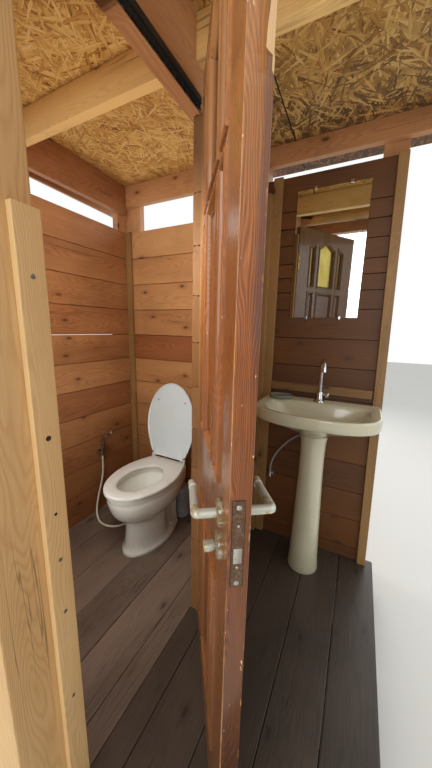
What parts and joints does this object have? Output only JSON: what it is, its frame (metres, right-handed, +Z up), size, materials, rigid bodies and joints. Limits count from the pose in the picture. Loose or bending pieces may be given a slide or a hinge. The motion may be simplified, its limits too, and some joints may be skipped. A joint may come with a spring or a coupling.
{
  "type": "timber wash hut with a toilet cubicle and a sink porch",
  "caption": "Small timber outhouse: board-walled toilet cubicle with a panelled door beside an open sink porch, under a flat sheeted roof.",
  "frame": {"origin": "on the ground, at the centre of the roof's outline", "axes": "+X across the front, from the toilet cubicle to the sink porch; +Y from the open front to the back wall; +Z up"},
  "size_m": [2.143, 1.827, 2.3683],
  "materials": {
    "bearer_timber": "rough",
    "floor_boards": "satin",
    "wall_boards": "satin",
    "dark_wall_boards": "satin",
    "pale_timber": "rough",
    "beam_timber": "rough",
    "peeled_log": "rough",
    "flake_board": "rough",
    "roof_felt": "rough",
    "brush": "matt",
    "door_wood": "varnished",
    "door_glass": "textured",
    "lock_steel": "rusty",
    "handle_metal": "worn",
    "brass": "satin",
    "pan_ceramic": "gloss",
    "seat_plastic": "satin",
    "lid_plastic": "satin",
    "waste_plastic": "matt",
    "basin_ceramic": "gloss",
    "chrome": "polished",
    "dish_glass": "smoky",
    "mirror_glass": "polished",
    "hose_plastic": "satin",
    "braided_hose": "matt"
  },
  "bodies": {
    "hut": {"bearers": "bearer_timber", "toilet_floor": "floor_boards", "porch_floor": "floor_boards", "left_wall": "wall_boards", "back_wall": "wall_boards", "front_wall": "wall_boards", "partition_wall": "wall_boards", "sink_wall": "dark_wall_boards", "wall_rail": "dark_wall_boards", "front_left_post": "pale_timber", "back_posts": "pale_timber", "strike_post": "pale_timber", "porch_post": "pale_timber", "hinge_post": "pale_timber", "hinge_jamb": "pale_timber", "wall_battens": "pale_timber", "stop_batten": "pale_timber", "left_beam": "beam_timber", "back_beam": "beam_timber", "porch_back_beam": "beam_timber", "front_beam": "beam_timber", "door_header": "beam_timber", "rafter": "beam_timber", "side_fascias": "beam_timber", "log_purlin": "peeled_log", "roof_sheets": "flake_board", "roof_felt": "roof_felt", "brush_seal": "brush", "hinge_pins": "brass", "toilet_pan": "pan_ceramic", "toilet_seat": "seat_plastic", "waste_hose": "waste_plastic", "washbasin": "basin_ceramic", "pedestal": "basin_ceramic", "basin_tap": "chrome", "sprayer": "chrome", "sprayer_holder": "chrome", "water_valve": "chrome", "basin_valve": "chrome", "soap_dish": "dish_glass", "mirror": "mirror_glass", "sprayer_hose": "hose_plastic", "tap_hose": "braided_hose"},
    "door": {"door_frame": "door_wood", "door_panels": "door_wood", "door_glass": "door_glass", "lock_plate": "lock_steel", "door_roses": "handle_metal", "hinge_leaves": "brass"},
    "levers": {"lever_handles": "handle_metal"},
    "thumb": {"thumb_turn": "handle_metal"},
    "lid": {"toilet_lid": "lid_plastic"}
  },
  "joints": [
    {"name": "door_swing", "type": "hinge", "parent": "hut", "child": "door", "pos_m": [0.2555, -0.05, 1.13], "axis": [0, 0, 1], "range_deg": [-35, 60]},
    {"name": "lever_turn", "type": "hinge", "parent": "door", "child": "levers", "pos_m": [0.54115, -0.50676, 1.048], "axis": [0.8192, 0.5736, 0], "range_deg": [-40, 0], "stiffness_Nm_per_rad": 1.5, "springref_deg": 20.05},
    {"name": "thumb_turn", "type": "hinge", "parent": "door", "child": "thumb", "pos_m": [0.54115, -0.50676, 0.976], "axis": [0.8192, 0.5736, 0], "range_deg": [0, 90]},
    {"name": "lid_hinge", "type": "hinge", "parent": "hut", "child": "lid", "pos_m": [-0.3145, 0.4385, 0.564], "axis": [1, 0, 0], "range_deg": [0, 97]}
  ]
}
